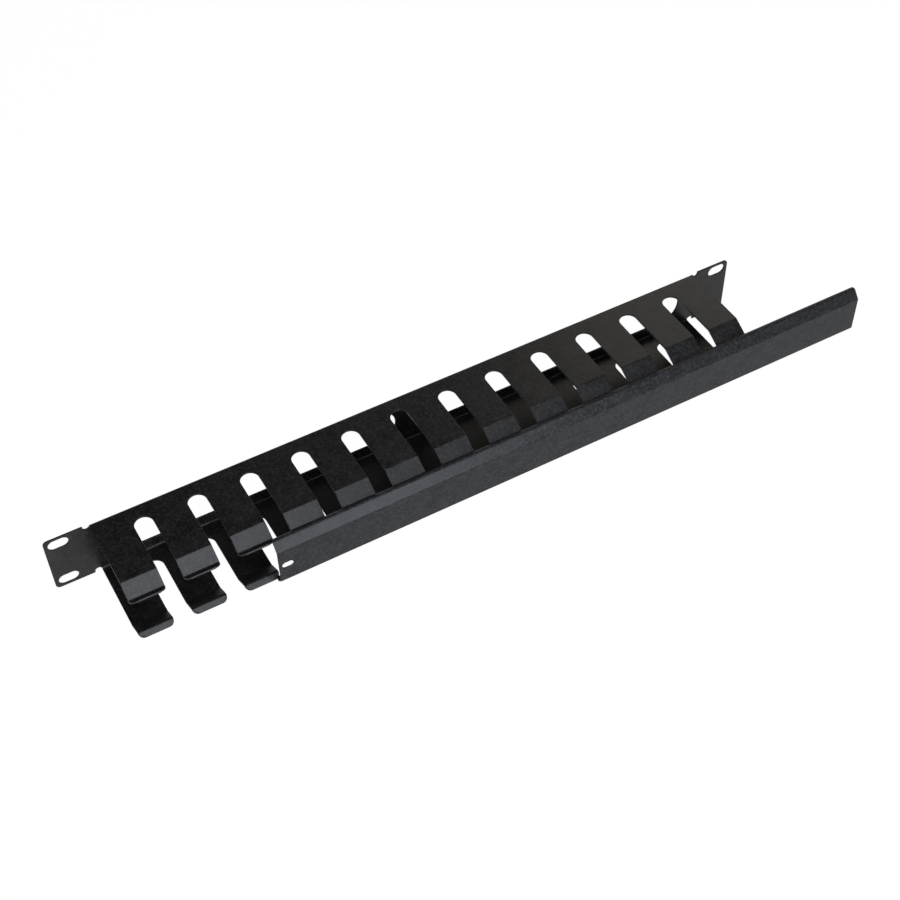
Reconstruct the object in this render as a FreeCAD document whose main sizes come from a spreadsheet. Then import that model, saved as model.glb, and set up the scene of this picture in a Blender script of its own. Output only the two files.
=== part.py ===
import FreeCAD, Part
import math
import os
import Sketcher

# Horizontal cable manager, one rack unit: a folded steel duct with slotted webs and two rack ears,
# and a folded steel cover whose edges hook over the finger tips and slide along them.
# Frame: X runs along the rack, Y to the rear, Z up. The origin is the centre of the mounting plane,
# which is the rear face of the duct and of its ears. All lengths are in millimetres.

DRIVING_SIZES = [
    ("panel_height", 42.4, "height of the back plate and ears"),
    ("duct_sheet", 1.2, "thickness of the duct's sheet"),
    ("bend_radius", 1.2, "inside radius of every fold in the duct"),
    ("web_depth", 50.0, "mounting plane to the first fold of a finger"),
    ("groove_run", 10.0, "first fold to the bottom of the groove, along Y"),
    ("groove_depth", 5.6, "depth of the groove below the web, along Z"),
    ("flare_length", 4.0, "length of the finger's edge past the groove"),
    ("flare_angle", 27.0, "rise of that edge, in degrees"),
    ("finger_corner", 3.5, "radius of the corners of a finger's edge"),
    ("slot_count", 12, "cable slots in each web"),
    ("finger_pitch", 33.6, "finger to finger"),
    ("finger_width", 22.1, "width of a finger"),
    ("slot_setback", 10.8, "mounting plane to the round end of a cable slot"),
    ("window_margin", 9.65, "end of the duct to the window beside it"),
    ("window_height", 24.4, "height of a window"),
    ("window_bridge", 25.0, "sheet left between the two windows"),
    ("ear_width", 28.65, "duct's end to the ear's end, for 482.6 over both ears"),
    ("ear_corner", 3.0, "corner radius of an ear"),
    ("relief_width", 4.2, "width of the relief notch beside each fold"),
    ("relief_depth", 3.0, "depth of the relief notch"),
    ("screw_inset", 8.75, "ear's end to the rack screw, for a spacing of 465.1"),
    ("screw_edge", 5.325, "ear's upper edge to the rack screw, for a spacing of 31.75"),
    ("screw_slot_length", 12.6, "length of a rack screw slot"),
    ("screw_slot_width", 7.5, "width of a rack screw slot"),
    ("cover_sheet", 0.8, "thickness of the cover's sheet"),
    ("cover_bend_radius", 1.2, "inside radius of every fold in the cover"),
    ("cover_clearance", 0.3, "gap between the cover's hook and a finger's edge"),
    ("cover_shortfall", 0.65, "duct's end to the cover's end while it is closed"),
    ("cover_slide", 86.4, "how far the cover stands to the right of its closed place"),
    ("hook_reach", 1.8, "how far the hook reaches back over a finger's edge"),
    ("hook_overrun", 1.4, "how far the hook runs forward past that edge"),
    ("bevel_run", 5.3, "cover's bevel along Y"),
    ("bevel_drop", 6.1, "cover's bevel along Z"),
    ("lock_slot_length", 7.5, "length of the small slot in the cover"),
    ("lock_slot_width", 4.5, "width of that slot"),
    ("lock_slot_inset", 5.8, "cover's left end to the middle of that slot"),
]
ORIGIN = (-1, 1)
MIDDLE_LINE, LEVEL_LINE = -2, -1


def make_sheet(doc):
    sheet = doc.addObject("Spreadsheet::Sheet", "sizes")
    for row, (alias, number, meaning) in enumerate(DRIVING_SIZES, start=1):
        sheet.set(f"A{row}", meaning)
        sheet.set(f"B{row}", str(number))
        sheet.setAlias(f"B{row}", alias)
    doc.recompute()
    return sheet


def origin_feature(body, role):
    return next(f for f in body.Origin.OriginFeatures if f.Role == role)


class Drawing:
    """A sketch on one of its body's origin planes, with every dimension bound to the sheet."""

    def __init__(self, body, name, plane):
        self.sheet = body.Document.getObject("sizes")
        self.sketch = body.newObject("Sketcher::SketchObject", name)
        self.sketch.AttachmentSupport = [(origin_feature(body, plane), "")]
        self.sketch.MapMode = "FlatFace"

    def value(self, expression):
        found = self.sheet.evalExpression(expression)
        return float(getattr(found, "Value", found))

    def point(self, place):
        return FreeCAD.Vector(self.value(place[0]), self.value(place[1]), 0)

    def constrain(self, *terms):
        return self.sketch.addConstraint(Sketcher.Constraint(*terms))

    def dimension(self, kind, *terms, size):
        index = self.constrain(kind, *terms, self.value(size))
        self.sketch.setExpression(f"Constraints[{index}]", size)

    def place(self, geometry, end, place):
        """Hold one end of a line, or an arc's centre, at a pair of expressions."""
        axes = (("DistanceX", MIDDLE_LINE, place[0]), ("DistanceY", LEVEL_LINE, place[1]))
        for kind, axis, size in axes:
            number = self.value(size)
            if abs(number) < 1e-9:
                self.constrain("PointOnObject", geometry, end, axis)
            elif number > 0:
                self.dimension(kind, *ORIGIN, geometry, end, size=size)
            else:
                self.dimension(kind, geometry, end, *ORIGIN, size=f"-({size})")

    def line(self, start, end):
        return self.sketch.addGeometry(Part.LineSegment(start, end), False)

    def arc(self, centre, radius, start, end):
        circle = Part.Circle(centre, FreeCAD.Vector(0, 0, 1), radius)
        span = (math.radians(start), math.radians(end))
        return self.sketch.addGeometry(Part.ArcOfCircle(circle, *span), False)

    def obround(self, centre, length, width):
        """A slot with round ends that lies along the sketch's first axis."""
        middle = self.point(centre)
        radius = self.value(width) / 2
        reach = FreeCAD.Vector(self.value(length) / 2 - radius, 0, 0)
        side = FreeCAD.Vector(0, radius, 0)
        left = self.arc(middle - reach, radius, 90, 270)
        low = self.line(middle - reach - side, middle + reach - side)
        right = self.arc(middle + reach, radius, 270, 450)
        high = self.line(middle + reach + side, middle - reach + side)
        self.constrain("Tangent", left, 2, low, 1)
        self.constrain("Tangent", low, 2, right, 1)
        self.constrain("Tangent", right, 2, high, 1)
        self.constrain("Tangent", high, 2, left, 1)
        self.constrain("Horizontal", low)
        self.dimension("Radius", left, size=f"{width} / 2")
        self.dimension("DistanceX", left, 3, right, 3, size=f"{length} - {width}")
        self.place(left, 3, (f"{centre[0]} - ({length} - {width}) / 2", centre[1]))

    def folded_strip(self, corners, wall):
        """The section of a folded sheet. The corners run along its outer face, and the wall lies
        on their right. Returns the folds as (place, is_outside) for the fillets."""
        outer = [self.point(corner) for corner in corners]
        inner = offset_right(outer, self.value(wall))
        outer_lines = [self.line(a, b) for a, b in zip(outer, outer[1:])]
        inner_lines = [self.line(a, b) for a, b in zip(inner, inner[1:])]
        caps = [self.line(outer[0], inner[0]), self.line(outer[-1], inner[-1])]
        for lines in (outer_lines, inner_lines):
            for one, other in zip(lines, lines[1:]):
                self.constrain("Coincident", one, 2, other, 1)
        for cap, index, end in ((caps[0], 0, 1), (caps[1], -1, 2)):
            self.constrain("Coincident", cap, 1, outer_lines[index], end)
            self.constrain("Coincident", cap, 2, inner_lines[index], end)
            self.constrain("Perpendicular", cap, outer_lines[index])
        for over, under in zip(outer_lines, inner_lines):
            self.constrain("Parallel", over, under)
            self.dimension("Distance", under, 1, over, size=wall)
        for line, corner in zip(outer_lines, corners):
            self.place(line, 1, corner)
        self.place(outer_lines[-1], 2, corners[-1])
        folds = []
        for index in range(1, len(outer) - 1):
            turn = (outer[index] - outer[index - 1]).cross(outer[index + 1] - outer[index]).z
            folds.append((outer[index], turn < 0))
            folds.append((inner[index], turn > 0))
        return folds


def offset_right(points, distance):
    """The mitred polyline that runs beside the given one, to its right."""
    sides = []
    for start, end in zip(points, points[1:]):
        along = (end - start).normalize()
        sides.append(FreeCAD.Vector(along.y, -along.x, 0))
    moved = [points[0] + sides[0] * distance]
    for corner, first, second in zip(points[1:], sides, sides[1:]):
        moved.append(corner + (first + second) * (distance / (1 + first.dot(second))))
    moved.append(points[-1] + sides[-1] * distance)
    return moved


def pad(body, name, drawing, length, symmetric=False):
    feature = body.newObject("PartDesign::Pad", name)
    feature.Profile = drawing.sketch
    feature.setExpression("Length", length)
    feature.SideType = "Symmetric" if symmetric else "One side"
    body.Document.recompute()
    return feature


def cut_through(body, name, drawing):
    """A pocket that runs through everything on both sides of its sketch."""
    before = body.Tip.Shape.Volume
    feature = body.newObject("PartDesign::Pocket", name)
    feature.Profile = drawing.sketch
    feature.SideType = "Symmetric"
    feature.Type = "ThroughAll"
    body.Document.recompute()
    if not feature.Shape.Volume < before:
        raise RuntimeError(f"{name} cuts nothing")
    return feature


def round_folds(body, name, folds, radius, outside):
    """Fillet the edges along X that pass through the folds of one kind."""
    base = body.Tip
    places = [place for place, is_outside in folds if is_outside == outside]
    picked = []
    for index, edge in enumerate(base.Shape.Edges, start=1):
        ends = [vertex.Point for vertex in edge.Vertexes]
        for place in places:
            if all(math.hypot(p.y - place.x, p.z - place.y) < 1e-4 for p in ends):
                picked.append(f"Edge{index}")
    if len(picked) != len(places):
        raise RuntimeError(f"{name} found {len(picked)} of {len(places)} folds")
    feature = body.newObject("PartDesign::Fillet", name)
    feature.Base = (base, picked)
    feature.setExpression("Radius", radius)
    body.Document.recompute()
    return feature


# Places that both pieces share, as expressions on the sheet
half_height = "(sizes.panel_height / 2)"
groove_y = "(sizes.web_depth + sizes.groove_run)"
groove_z = f"({half_height} - sizes.groove_depth)"
flare_cos = "cos(sizes.flare_angle * 1 deg)"
flare_sin = "sin(sizes.flare_angle * 1 deg)"
edge_y = f"({groove_y} + sizes.flare_length * {flare_cos})"
edge_z = f"({groove_z} + sizes.flare_length * {flare_sin})"
finger_gap = "(sizes.finger_pitch - sizes.finger_width)"
duct_length = "(sizes.slot_count * sizes.finger_pitch + sizes.finger_width)"
half_span = f"({duct_length} / 2 + sizes.ear_width)"
window_length = f"(({duct_length} - sizes.window_bridge) / 2 - sizes.window_margin)"
cover_length = f"({duct_length} - 2 * sizes.cover_shortfall)"


def mirrored_down(corners):
    """The same corners below the middle plane, in the order that carries the outline on."""
    return [(y, f"-({z})") for y, z in reversed(corners)]


def finger_gap_drawing(body):
    """One cable slot: a round end at the rear, straight sides, and a mouth that opens out in two
    corner radii. It stands one pitch to the left of the first slot, where it only rounds the end
    finger, and the pattern takes it from there past the other end."""
    gap = Drawing(body, "slot_outline", "XY_Plane")
    centre_x = f"-({duct_length} + {finger_gap}) / 2"
    side_y = f"-({edge_y} - sizes.finger_corner)"
    x, radius = gap.value(centre_x), gap.value(finger_gap) / 2
    corner = gap.value("sizes.finger_corner")
    rear = gap.value(f"-(sizes.slot_setback + {finger_gap} / 2)")
    side, mouth = gap.value(side_y), gap.value(f"-({edge_y} + sizes.flare_length)")
    vector = FreeCAD.Vector
    end = gap.arc(vector(x, rear, 0), radius, 0, 180)
    left = gap.line(vector(x - radius, rear, 0), vector(x - radius, side, 0))
    left_corner = gap.arc(vector(x - radius - corner, side, 0), corner, 270, 360)
    left_mouth = gap.line(vector(x - radius - corner, side - corner, 0),
                          vector(x - radius - corner, mouth, 0))
    front = gap.line(vector(x - radius - corner, mouth, 0), vector(x + radius + corner, mouth, 0))
    right_mouth = gap.line(vector(x + radius + corner, mouth, 0),
                           vector(x + radius + corner, side - corner, 0))
    right_corner = gap.arc(vector(x + radius + corner, side, 0), corner, 180, 270)
    right = gap.line(vector(x + radius, side, 0), vector(x + radius, rear, 0))
    gap.constrain("Tangent", end, 2, left, 1)
    gap.constrain("Tangent", left, 2, left_corner, 2)
    gap.constrain("Coincident", left_corner, 1, left_mouth, 1)
    gap.constrain("Coincident", left_mouth, 2, front, 1)
    gap.constrain("Coincident", front, 2, right_mouth, 1)
    gap.constrain("Coincident", right_mouth, 2, right_corner, 2)
    gap.constrain("Tangent", right_corner, 1, right, 1)
    gap.constrain("Tangent", right, 2, end, 1)
    for line in (left, left_mouth, right_mouth, right):
        gap.constrain("Vertical", line)
    gap.constrain("Horizontal", front)
    gap.constrain("Vertical", left_corner, 1, left_corner, 3)
    gap.constrain("Vertical", right_corner, 2, right_corner, 3)
    gap.dimension("Radius", end, size=f"{finger_gap} / 2")
    gap.place(end, 3, (centre_x, f"-(sizes.slot_setback + {finger_gap} / 2)"))
    gap.dimension("Radius", left_corner, size="sizes.finger_corner")
    gap.dimension("Radius", right_corner, size="sizes.finger_corner")
    gap.dimension("DistanceY", left_corner, 3, *ORIGIN, size=f"-({side_y})")
    gap.dimension("DistanceY", right_corner, 3, *ORIGIN, size=f"-({side_y})")
    gap.dimension("DistanceY", front, 1, *ORIGIN, size=f"{edge_y} + sizes.flare_length")
    return gap


def ear_drawing(body):
    """The right ear, with a round-ended relief notch beside each of the duct's rear folds."""
    ear = Drawing(body, "ear_outline", "XZ_Plane")
    inner = f"{duct_length} / 2"
    notch = f"({inner} + sizes.relief_width)"
    notch_side = f"({half_height} - sizes.relief_depth + sizes.relief_width / 2)"
    flat_end = f"({half_span} - sizes.ear_corner)"
    straight = f"({half_height} - sizes.ear_corner)"
    relief, corner = ear.value("sizes.relief_width / 2"), ear.value("sizes.ear_corner")
    vector = FreeCAD.Vector

    def at(x, z):
        return ear.point((x, z))

    low_relief = ear.arc(at(inner, f"-{notch_side}") + vector(relief, 0, 0), relief, 0, 180)
    low_side = ear.line(at(notch, f"-{notch_side}"), at(notch, f"-{half_height}"))
    low = ear.line(at(notch, f"-{half_height}"), at(flat_end, f"-{half_height}"))
    low_corner = ear.arc(at(flat_end, f"-{straight}"), corner, 270, 360)
    end = ear.line(at(half_span, f"-{straight}"), at(half_span, straight))
    high_corner = ear.arc(at(flat_end, straight), corner, 0, 90)
    high = ear.line(at(flat_end, half_height), at(notch, half_height))
    high_side = ear.line(at(notch, half_height), at(notch, notch_side))
    high_relief = ear.arc(at(inner, notch_side) + vector(relief, 0, 0), relief, 180, 360)
    root = ear.line(at(inner, notch_side), at(inner, f"-{notch_side}"))
    ear.constrain("Tangent", root, 2, low_relief, 2)
    ear.constrain("Tangent", low_relief, 1, low_side, 1)
    ear.constrain("Coincident", low_side, 2, low, 1)
    ear.constrain("Tangent", low, 2, low_corner, 1)
    ear.constrain("Tangent", low_corner, 2, end, 1)
    ear.constrain("Tangent", end, 2, high_corner, 1)
    ear.constrain("Tangent", high_corner, 2, high, 1)
    ear.constrain("Coincident", high, 2, high_side, 1)
    ear.constrain("Tangent", high_side, 2, high_relief, 2)
    ear.constrain("Tangent", high_relief, 1, root, 1)
    for line in (low_side, end, high_side, root):
        ear.constrain("Vertical", line)
    for line in (low, high):
        ear.constrain("Horizontal", line)
    for arc, radius in ((low_relief, "sizes.relief_width / 2"), (low_corner, "sizes.ear_corner"),
                        (high_corner, "sizes.ear_corner")):
        ear.dimension("Radius", arc, size=radius)
    ear.place(low, 1, (notch, f"-{half_height}"))
    ear.dimension("DistanceY", *ORIGIN, high, 2, size=half_height)
    ear.dimension("DistanceX", *ORIGIN, end, 1, size=half_span)
    ear.dimension("DistanceY", low_relief, 3, *ORIGIN, size=notch_side)
    ear.dimension("DistanceY", *ORIGIN, high_relief, 3, size=notch_side)
    return ear


def make_duct(doc):
    """One folded sheet: back plate, two slotted webs whose fingers end in a groove, two ears."""
    body = doc.addObject("PartDesign::Body", "duct")
    body.Label = "duct"
    upper = [
        (f"-{edge_y}", edge_z),
        (f"-{groove_y}", groove_z),
        ("-sizes.web_depth", half_height),
        ("0", half_height),
    ]
    section = Drawing(body, "duct_section", "YZ_Plane")
    folds = section.folded_strip(upper + mirrored_down(upper), "sizes.duct_sheet")
    pad(body, "channel", section, duct_length, symmetric=True)
    round_folds(body, "outer_folds", folds, "sizes.bend_radius + sizes.duct_sheet", True)
    round_folds(body, "inner_folds", folds, "sizes.bend_radius", False)
    ear = pad(body, "ear", ear_drawing(body), "sizes.duct_sheet")
    screws = Drawing(body, "screw_slots", "XZ_Plane")
    screw_level = f"({half_height} - sizes.screw_edge)"
    for level in (f"-{screw_level}", screw_level):
        screws.obround((f"{half_span} - sizes.screw_inset", level),
                       "sizes.screw_slot_length", "sizes.screw_slot_width")
    screw_slots = cut_through(body, "rack_screw_slots", screws)
    opening = Drawing(body, "window_outline", "XZ_Plane")
    opening.obround((f"(sizes.window_bridge + {window_length}) / 2", "0"),
                    window_length, "sizes.window_height")
    window = cut_through(body, "window", opening)
    other_side = body.newObject("PartDesign::Mirrored", "left_side")
    other_side.Originals = [ear, screw_slots, window]
    other_side.MirrorPlane = (origin_feature(body, "YZ_Plane"), [""])
    body.Tip = other_side
    doc.recompute()
    slot = cut_through(body, "cable_slot", finger_gap_drawing(body))
    row = body.newObject("PartDesign::LinearPattern", "slot_row")
    row.Originals = [slot]
    row.Direction = (origin_feature(body, "X_Axis"), [""])
    row.Mode = "Spacing"
    row.setExpression("Offset", "sizes.finger_pitch")
    row.setExpression("Occurrences", "sizes.slot_count + 2")
    body.Tip = row
    doc.recompute()
    return body


def make_cover(doc):
    """One folded sheet: a face, two bevels, and a hook along each long edge."""
    body = doc.addObject("PartDesign::Body", "cover")
    body.Label = "cover"
    # The hook lies parallel to a finger's edge, and its outer face is one skin away from it
    skin = "(sizes.cover_clearance + sizes.cover_sheet)"
    tip_y = f"({edge_y} - sizes.hook_reach * {flare_cos} - {skin} * {flare_sin})"
    tip_z = f"({edge_z} - sizes.hook_reach * {flare_sin} + {skin} * {flare_cos})"
    apex_y = f"({edge_y} + sizes.hook_overrun * {flare_cos} - {skin} * {flare_sin})"
    apex_z = f"({edge_z} + sizes.hook_overrun * {flare_sin} + {skin} * {flare_cos})"
    upper = [
        (f"-{tip_y}", tip_z),
        (f"-{apex_y}", apex_z),
        (f"-({apex_y} + sizes.bevel_run)", f"{apex_z} - sizes.bevel_drop"),
    ]
    section = Drawing(body, "cover_section", "YZ_Plane")
    folds = section.folded_strip(mirrored_down(upper)[::-1] + upper[::-1], "sizes.cover_sheet")
    pad(body, "folded_sheet", section, cover_length, symmetric=True)
    round_folds(body, "outer_folds", folds, "sizes.cover_bend_radius + sizes.cover_sheet", True)
    round_folds(body, "inner_folds", folds, "sizes.cover_bend_radius", False)
    lock = Drawing(body, "lock_slot_outline", "XZ_Plane")
    lock.obround((f"-({cover_length} / 2 - sizes.lock_slot_inset)", "0"),
                 "sizes.lock_slot_length", "sizes.lock_slot_width")
    cut_through(body, "lock_slot", lock)
    body.setExpression(".Placement.Base.x", "sizes.cover_slide * 1 mm")
    doc.recompute()
    return body


def write_pieces(doc, bodies):
    failed = [thing.Name for thing in doc.Objects if {"Invalid", "Error"} & set(thing.State)]
    if failed:
        raise RuntimeError(f"failed to build: {failed}")
    for body in bodies:
        shape = body.Shape
        if shape.isNull() or not shape.isValid() or len(shape.Solids) != 1:
            raise RuntimeError(f"{body.Label} is not one valid solid")
    os.makedirs("parts", exist_ok=True)
    for body in bodies:
        box = body.Shape.BoundBox
        body.Shape.exportStep(f"parts/{body.Label}.step")
        print(f"{body.Label}: {body.Shape.Volume:.1f} mm3, x {box.XMin:.2f} to {box.XMax:.2f}, "
              f"y {box.YMin:.2f} to {box.YMax:.2f}, z {box.ZMin:.2f} to {box.ZMax:.2f}")


def main():
    doc = FreeCAD.newDocument("cable_manager")
    make_sheet(doc)
    pieces = [make_duct(doc), make_cover(doc)]
    doc.recompute()
    write_pieces(doc, pieces)


main()
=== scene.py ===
# A one-unit horizontal cable manager: a folded duct with two rows of fingers, and its sliding
# cover. Both are sheet steel in black powder coat, so the looks are grain, rounded edges and light.
import math

import bmesh
import bpy
from mathutils import Matrix, Vector


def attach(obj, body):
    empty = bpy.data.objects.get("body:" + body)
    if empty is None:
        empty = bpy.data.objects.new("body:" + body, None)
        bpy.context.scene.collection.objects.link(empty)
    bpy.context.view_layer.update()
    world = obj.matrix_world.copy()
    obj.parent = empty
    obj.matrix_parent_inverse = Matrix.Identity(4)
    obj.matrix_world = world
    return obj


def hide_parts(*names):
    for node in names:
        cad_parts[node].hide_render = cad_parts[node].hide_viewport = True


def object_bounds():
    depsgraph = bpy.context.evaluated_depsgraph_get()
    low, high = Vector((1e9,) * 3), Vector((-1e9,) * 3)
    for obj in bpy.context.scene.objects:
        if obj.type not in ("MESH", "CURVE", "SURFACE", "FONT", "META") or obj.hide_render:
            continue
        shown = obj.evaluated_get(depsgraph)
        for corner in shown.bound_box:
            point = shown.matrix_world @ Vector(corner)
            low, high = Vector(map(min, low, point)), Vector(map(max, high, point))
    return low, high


mm = 0.001  # the frame is in metres

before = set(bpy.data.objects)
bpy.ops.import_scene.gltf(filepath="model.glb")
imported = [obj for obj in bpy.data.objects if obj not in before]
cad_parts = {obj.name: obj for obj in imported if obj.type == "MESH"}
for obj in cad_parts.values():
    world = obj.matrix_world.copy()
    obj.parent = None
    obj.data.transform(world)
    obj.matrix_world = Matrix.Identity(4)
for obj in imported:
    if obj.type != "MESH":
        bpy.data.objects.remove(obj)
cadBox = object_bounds()
print("frame loaded:", ", ".join(sorted(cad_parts)))


def linear(hexColour):
    # a written sRGB colour, such as "1b1c1d", as the linear colour that the shader mixes
    parts = [int(hexColour[i:i + 2], 16) / 255 for i in (0, 2, 4)]
    return tuple(p / 12.92 if p <= 0.04045 else ((p + 0.055) / 1.055) ** 2.4
                 for p in parts) + (1.0,)


def addNode(tree, kind, place, inputs=None, **settings):
    # one node with its settings; an input is set to a number or colour, or linked to a socket
    node = tree.nodes.new(kind)
    node.location = place
    for name, value in settings.items():
        setattr(node, name, value)
    for name, value in (inputs or {}).items():
        if isinstance(value, bpy.types.NodeSocket):
            tree.links.new(value, node.inputs[name])
        else:
            node.inputs[name].default_value = value
    return node


def addToScene(name, data):
    thing = bpy.data.objects.new(name, data)
    bpy.context.scene.collection.objects.link(thing)
    return thing


ductCoat = {
    "thick": "0b0b0b", "thin": "161616",    # colour where the powder lies thick and thin
    "grit": "303031", "gritAmount": 0.44,   # paler grains, and how much they show
    "cloudWidth": 9.0,                      # mm, of the patches where the powder lay thicker
    "peelWidth": 4.0, "peelHeight": 0.035,  # mm, of the slow waves
    "pebbleWidth": 2.0, "pebbleHeight": 0.035, "gritWidth": 1.8, "gritHeight": 0.03,  # mm
    "cloudFrom": 0.32, "cloudTo": 0.68,     # part of the noise that runs from thick to thin
    "gritFrom": 0.45, "gritTo": 0.75,       # part of the noise that shows as grains
    "sheenFrom": 0.3, "sheenTo": 0.7,       # part of the noise that moves the roughness
    "roughness": 0.36, "sheenSpread": 0.06, "specular": 0.235, "ior": 1.5,
}
# The cover is the same paint as the duct. Its paler thick, thin and grit colours are painted sheen:
# with the lower specular level, they stand in for part of the brightness that the cover's face
# really gets from reflected light.
coverCoatPaintedSheen = dict(ductCoat, thick="101112", thin="1a1b1d", grit="38393a", gritAmount=0.5,
                 sheenSpread=0.07, specular=0.165)


# Fine-texture powder coat, sprayed dry on bent steel and baked. The eye knows it by the small
# pebbles that break up each highlight, by a satin sheen that never turns mirror-like, and by a
# faint unevenness where the powder lay thicker. There is no metal in it, so highlights keep the
# colour of the light. The real grain is about a third as wide as the 2 mm drawn here, which is
# as fine as still shows.
def texturedPowderCoat(name, coat):
    material = bpy.data.materials.new(name)
    material.use_nodes = True
    tree = material.node_tree
    tree.nodes.clear()
    where = addNode(tree, "ShaderNodeTexCoord", (-1500, 0))
    point = where.outputs["Object"]
    perMetre = 1 / mm
    clouds = addNode(tree, "ShaderNodeTexNoise", (-1250, 320), {
        "Vector": point, "Scale": perMetre / coat["cloudWidth"],
        "Detail": 3.0, "Roughness": 0.55})
    grit = addNode(tree, "ShaderNodeTexNoise", (-1250, 40), {
        "Vector": point, "Scale": perMetre / coat["gritWidth"],
        "Detail": 2.0, "Roughness": 0.65})
    pebbles = addNode(tree, "ShaderNodeTexVoronoi", (-1250, -240), {
        "Vector": point, "Scale": perMetre / coat["pebbleWidth"], "Randomness": 1.0})
    peel = addNode(tree, "ShaderNodeTexNoise", (-1250, -520), {
        "Vector": point, "Scale": perMetre / coat["peelWidth"],
        "Detail": 1.0, "Roughness": 0.5})
    cloudShare = addNode(tree, "ShaderNodeMapRange", (-1000, 320), {
        "Value": clouds.outputs["Fac"],
        "From Min": coat["cloudFrom"], "From Max": coat["cloudTo"]})
    gritShare = addNode(tree, "ShaderNodeMapRange", (-1000, 40), {
        "Value": grit.outputs["Fac"],
        "From Min": coat["gritFrom"], "From Max": coat["gritTo"], "To Max": coat["gritAmount"]})
    base = addNode(tree, "ShaderNodeMix", (-750, 320), {
        0: cloudShare.outputs["Result"], 6: linear(coat["thick"]), 7: linear(coat["thin"])},
        data_type="RGBA")
    colour = addNode(tree, "ShaderNodeMix", (-500, 220), {
        0: gritShare.outputs["Result"], 6: base.outputs[2], 7: linear(coat["grit"])},
        data_type="RGBA")
    sheen = addNode(tree, "ShaderNodeMapRange", (-500, -20), {
        "Value": grit.outputs["Fac"],
        "From Min": coat["sheenFrom"], "From Max": coat["sheenTo"],
        "To Min": coat["roughness"] - coat["sheenSpread"],
        "To Max": coat["roughness"] + coat["sheenSpread"]})
    wavy = addNode(tree, "ShaderNodeBump", (-750, -420), {
        "Height": peel.outputs["Fac"], "Strength": 1.0, "Distance": coat["peelHeight"] * mm})
    pebbled = addNode(tree, "ShaderNodeBump", (-500, -300), {
        "Height": pebbles.outputs["Distance"], "Strength": 1.0,
        "Distance": coat["pebbleHeight"] * mm, "Normal": wavy.outputs["Normal"]})
    grained = addNode(tree, "ShaderNodeBump", (-250, -200), {
        "Height": grit.outputs["Fac"], "Strength": 1.0,
        "Distance": coat["gritHeight"] * mm, "Normal": pebbled.outputs["Normal"]})
    shader = addNode(tree, "ShaderNodeBsdfPrincipled", (0, 0), {
        "Base Color": colour.outputs[2], "Roughness": sheen.outputs["Result"],
        "Normal": grained.outputs["Normal"],
        "IOR": coat["ior"], "Specular IOR Level": coat["specular"]})
    addNode(tree, "ShaderNodeOutputMaterial", (300, 0), {"Surface": shader.outputs["BSDF"]})
    return material


ductSheet = {
    "edgeRound": 0.25, "edgeSteps": 2,     # mm, and faces across the round
    "cutFrom": 50, "cutTo": 120,           # degrees between the faces that meet at a cut edge
    "flatWithin": 0.5,                     # degrees, faces that count as one flat face
    "joinWithin": 0.002, "tidyWithin": 0.001,  # mm, points that are one, before and after rounding
    "flatWeight": 80,                      # how far large faces rule the shading at the rounds
}
coverSheet = dict(ductSheet, edgeRound=0.2)


# A laser-cut edge comes out of the powder a little round, because the melt draws back from a
# sharp corner. The CAD sheet is copied, its loose triangles are joined and its flat faces merged,
# and every cut edge gets that small round. The folds keep their own radius.
def coatedSheet(nodeName, pieceName, sheet, material):
    mesh = bpy.data.meshes.new(pieceName)
    joined = bmesh.new()
    joined.from_mesh(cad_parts[nodeName].data)
    bmesh.ops.remove_doubles(joined, verts=joined.verts, dist=sheet["joinWithin"] * mm)
    bmesh.ops.dissolve_limit(joined, angle_limit=math.radians(sheet["flatWithin"]),
                             verts=joined.verts, edges=joined.edges)
    cutEdges = [edge for edge in joined.edges if edge.is_convex
                and sheet["cutFrom"] < math.degrees(edge.calc_face_angle()) < sheet["cutTo"]]
    bmesh.ops.bevel(joined, geom=cutEdges, offset=sheet["edgeRound"] * mm,
                    offset_type="OFFSET", segments=sheet["edgeSteps"], profile=0.5,
                    affect="EDGES", clamp_overlap=False)
    bmesh.ops.remove_doubles(joined, verts=joined.verts, dist=sheet["tidyWithin"] * mm)
    bmesh.ops.triangulate(joined, faces=joined.faces)
    for face in joined.faces:
        face.smooth = True
        face.material_index = 0
    joined.to_mesh(mesh)
    joined.free()
    mesh.materials.append(material)
    piece = addToScene(pieceName, mesh)
    level = piece.modifiers.new("flat faces stay flat", "WEIGHTED_NORMAL")
    level.weight = sheet["flatWeight"]
    shaded = piece.evaluated_get(bpy.context.evaluated_depsgraph_get())
    piece.data = bpy.data.meshes.new_from_object(shaded)
    piece.modifiers.clear()
    bpy.data.meshes.remove(mesh)
    piece.data.name = pieceName
    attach(piece, nodeName)
    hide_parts(nodeName)
    print(pieceName + ":", len(piece.data.polygons), "faces")


coatedSheet("duct", "duct_coated_sheet", ductSheet,
            texturedPowderCoat("Black fine-texture powder coat, duct", ductCoat))
coatedSheet("cover", "cover_coated_sheet", coverSheet,
            texturedPowderCoat("Black fine-texture powder coat, cover", coverCoatPaintedSheen))


# The camera stands up, left and in front, and looks down along the duct's length.
view = {
    "from": (-299.72, -607.13, 719.16),          # mm
    "right": (0.870899, -0.491121, -0.018285),   # the picture's own directions, in the frame
    "down": (-0.376506, -0.642815, -0.667107),
    "along": (0.315877, 0.587868, -0.744737),
    "lens": 62.41, "sensor": 36.0,               # mm
    "nearest": 10.0,                             # mm, nothing closer is drawn
}


def setCamera():
    data = bpy.data.cameras.new("camera")
    data.sensor_width = view["sensor"]
    data.lens = view["lens"]
    data.clip_start = view["nearest"] * mm
    camera = addToScene("camera", data)
    axes = Matrix((Vector(view["right"]), -Vector(view["down"]), -Vector(view["along"])))
    camera.matrix_world = (Matrix.Translation(Vector(view["from"]) * mm)
                           @ axes.transposed().to_4x4())
    bpy.context.scene.camera = camera
    print("camera set")


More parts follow.
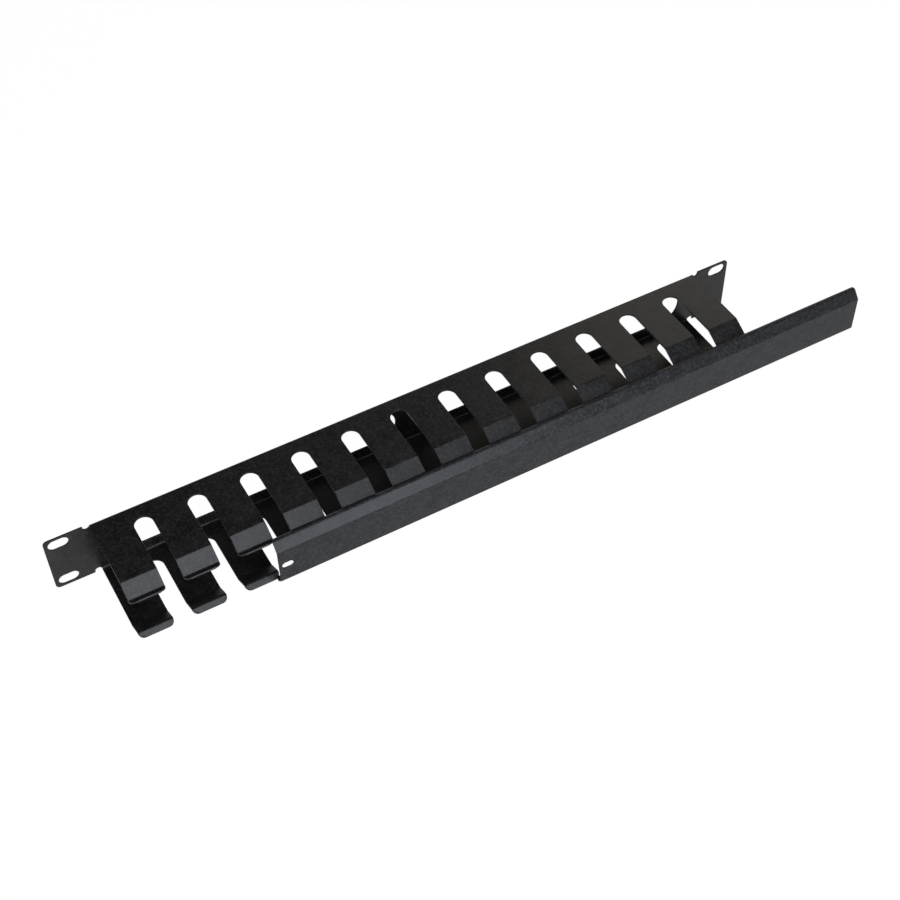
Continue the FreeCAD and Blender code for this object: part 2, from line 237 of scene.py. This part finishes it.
stage = {
    "halfWidth": 3.0,          # m
    "gap": 0.1,                # mm under the lowest point
    "paper": "d9d9d9",         # what the floor throws back at the object
    "plain": 0.985,            # how white it looks by itself; the lamps add the rest
    "shadowPaper": "2f2f2f",   # how much they add, which is missing in the shadow
}


# White backdrop paper, which the eye and anything glossy see as plain white with a faint shadow.
def plainFloor():
    half, level = stage["halfWidth"], cadBox[0][2] - stage["gap"] * mm
    mesh = bpy.data.meshes.new("floor")
    mesh.from_pydata([(-half, -half, level), (half, -half, level),
                      (half, half, level), (-half, half, level)], [], [(0, 1, 2, 3)])
    floor = addToScene("floor", mesh)
    material = bpy.data.materials.new("White backdrop paper")
    material.use_nodes = True
    tree = material.node_tree
    tree.nodes.clear()
    path = addNode(tree, "ShaderNodeLightPath", (-900, 0))
    seenOrGlossy = addNode(tree, "ShaderNodeMath", (-650, 60), {
        0: path.outputs["Is Camera Ray"], 1: path.outputs["Is Glossy Ray"]},
        operation="MAXIMUM")
    plainRay = addNode(tree, "ShaderNodeMath", (-450, 0), {
        0: seenOrGlossy.outputs[0], 1: path.outputs["Is Transmission Ray"]},
        operation="MAXIMUM")
    paper = addNode(tree, "ShaderNodeBsdfDiffuse", (-450, -160), {
        "Color": linear(stage["paper"])})
    shade = addNode(tree, "ShaderNodeBsdfDiffuse", (-450, -320), {
        "Color": linear(stage["shadowPaper"])})
    plain = addNode(tree, "ShaderNodeEmission", (-450, -480), {"Strength": stage["plain"]})
    plainPaper = addNode(tree, "ShaderNodeAddShader", (-200, -380), {
        0: shade.outputs[0], 1: plain.outputs[0]})
    mix = addNode(tree, "ShaderNodeMixShader", (0, 0), {
        0: plainRay.outputs[0], 1: paper.outputs[0], 2: plainPaper.outputs[0]})
    addNode(tree, "ShaderNodeOutputMaterial", (220, 0), {"Surface": mix.outputs[0]})
    mesh.materials.append(material)


surround = {
    "whiteTo": 0.5, "darkFrom": 4.0,  # degrees above the horizon, the paper's edge in reflections
    "dim": 0.02,                      # how bright the room is above it
}


# The backdrop is plain white. Reflections show it too, up to the paper's edge just above the
# horizon, and over it the dim room, so that the top faces stay black.
def dimRoom():
    world = bpy.data.worlds.new("studio surround")
    bpy.context.scene.world = world
    world.use_nodes = True
    tree = world.node_tree
    tree.nodes.clear()
    path = addNode(tree, "ShaderNodeLightPath", (-900, 300))
    where = addNode(tree, "ShaderNodeTexCoord", (-1100, 0))
    height = addNode(tree, "ShaderNodeSeparateXYZ", (-900, 0), {
        "Vector": where.outputs["Generated"]})
    paperEdge = addNode(tree, "ShaderNodeMapRange", (-700, 0), {
        "Value": height.outputs["Z"],
        "From Min": math.sin(math.radians(surround["whiteTo"])),
        "From Max": math.sin(math.radians(surround["darkFrom"])),
        "To Min": 1.0, "To Max": 0.0})
    reflected = addNode(tree, "ShaderNodeMath", (-500, 60), {
        0: path.outputs["Is Glossy Ray"], 1: paperEdge.outputs["Result"]},
        operation="MULTIPLY")
    seen = addNode(tree, "ShaderNodeMath", (-500, 300), {
        0: path.outputs["Is Camera Ray"], 1: path.outputs["Is Transmission Ray"]},
        operation="MAXIMUM")
    paper = addNode(tree, "ShaderNodeMath", (-300, 200), {
        0: seen.outputs[0], 1: reflected.outputs[0]}, operation="MAXIMUM")
    strength = addNode(tree, "ShaderNodeMath", (-150, 100), {
        0: paper.outputs[0], 1: surround["dim"]}, operation="MAXIMUM")
    plain = addNode(tree, "ShaderNodeBackground", (0, 0), {
        "Color": linear("ffffff"), "Strength": strength.outputs[0]})
    addNode(tree, "ShaderNodeOutputWorld", (220, 0), {"Surface": plain.outputs[0]})


# Soft boxes: where each one aims (mm), its bearing from the front (degrees, right is plus), its
# height above the floor (degrees), its distance (m), its width (m), its power (W) and its colour.
softBoxes = {
    "high front left": {"aim": (-200, -30, 0), "bearing": 10, "rise": 68, "away": 0.8,
                        "width": 0.4, "power": 3.8, "colour": "f3f7ff"},
    "low front left": {"aim": (-200, -30, 0), "bearing": 20, "rise": 20, "away": 0.8,
                       "width": 0.4, "power": 4.7, "colour": "f1f5ff"},
    "front middle": {"aim": (0, -30, 0), "bearing": 20, "rise": 48, "away": 0.95,
                     "width": 0.5, "power": 2.8, "colour": "f3f7ff"},
    "low right": {"aim": (0, -30, 0), "bearing": 60, "rise": 22, "away": 0.95,
                  "width": 0.5, "power": 1.0, "colour": "fafbff"},
    "edge light": {"aim": (-200, -60, 0), "bearing": -5, "rise": 9, "away": 0.8,
                   "width": 0.24, "power": 1.8, "colour": "f1f6ff"},
    "left": {"aim": (0, -50, 0), "bearing": -62, "rise": 16, "away": 0.9,
             "width": 0.4, "power": 1.3, "colour": "f8faff"},
    "rear right": {"aim": (300, -30, 0), "bearing": 145, "rise": 42, "away": 0.8,
                   "width": 0.4, "power": 1.08, "colour": "fff6e8"},
    "rear": {"aim": (0, -30, 0), "bearing": 160, "rise": 30, "away": 0.95,
             "width": 0.5, "power": 0.34, "colour": "fff8ee"},
}


def softBox(name, box):
    bearing, rise = math.radians(box["bearing"]), math.radians(box["rise"])
    towards = Vector((math.sin(bearing) * math.cos(rise), -math.cos(bearing) * math.cos(rise),
                      math.sin(rise)))
    data = bpy.data.lights.new(name, "AREA")
    data.shape = "SQUARE"
    data.size = box["width"]
    data.energy = box["power"]
    data.color = linear(box["colour"])[:3]
    lamp = addToScene(name, data)
    lamp.matrix_world = (Matrix.Translation(Vector(box["aim"]) * mm + towards * box["away"])
                         @ (-towards).to_track_quat("-Z", "Y").to_matrix().to_4x4())


setCamera()
plainFloor()
dimRoom()
for name, box in softBoxes.items():
    softBox(name, box)
bpy.context.scene.view_settings.view_transform = "Standard"
print("stage and", len(softBoxes), "soft boxes set")
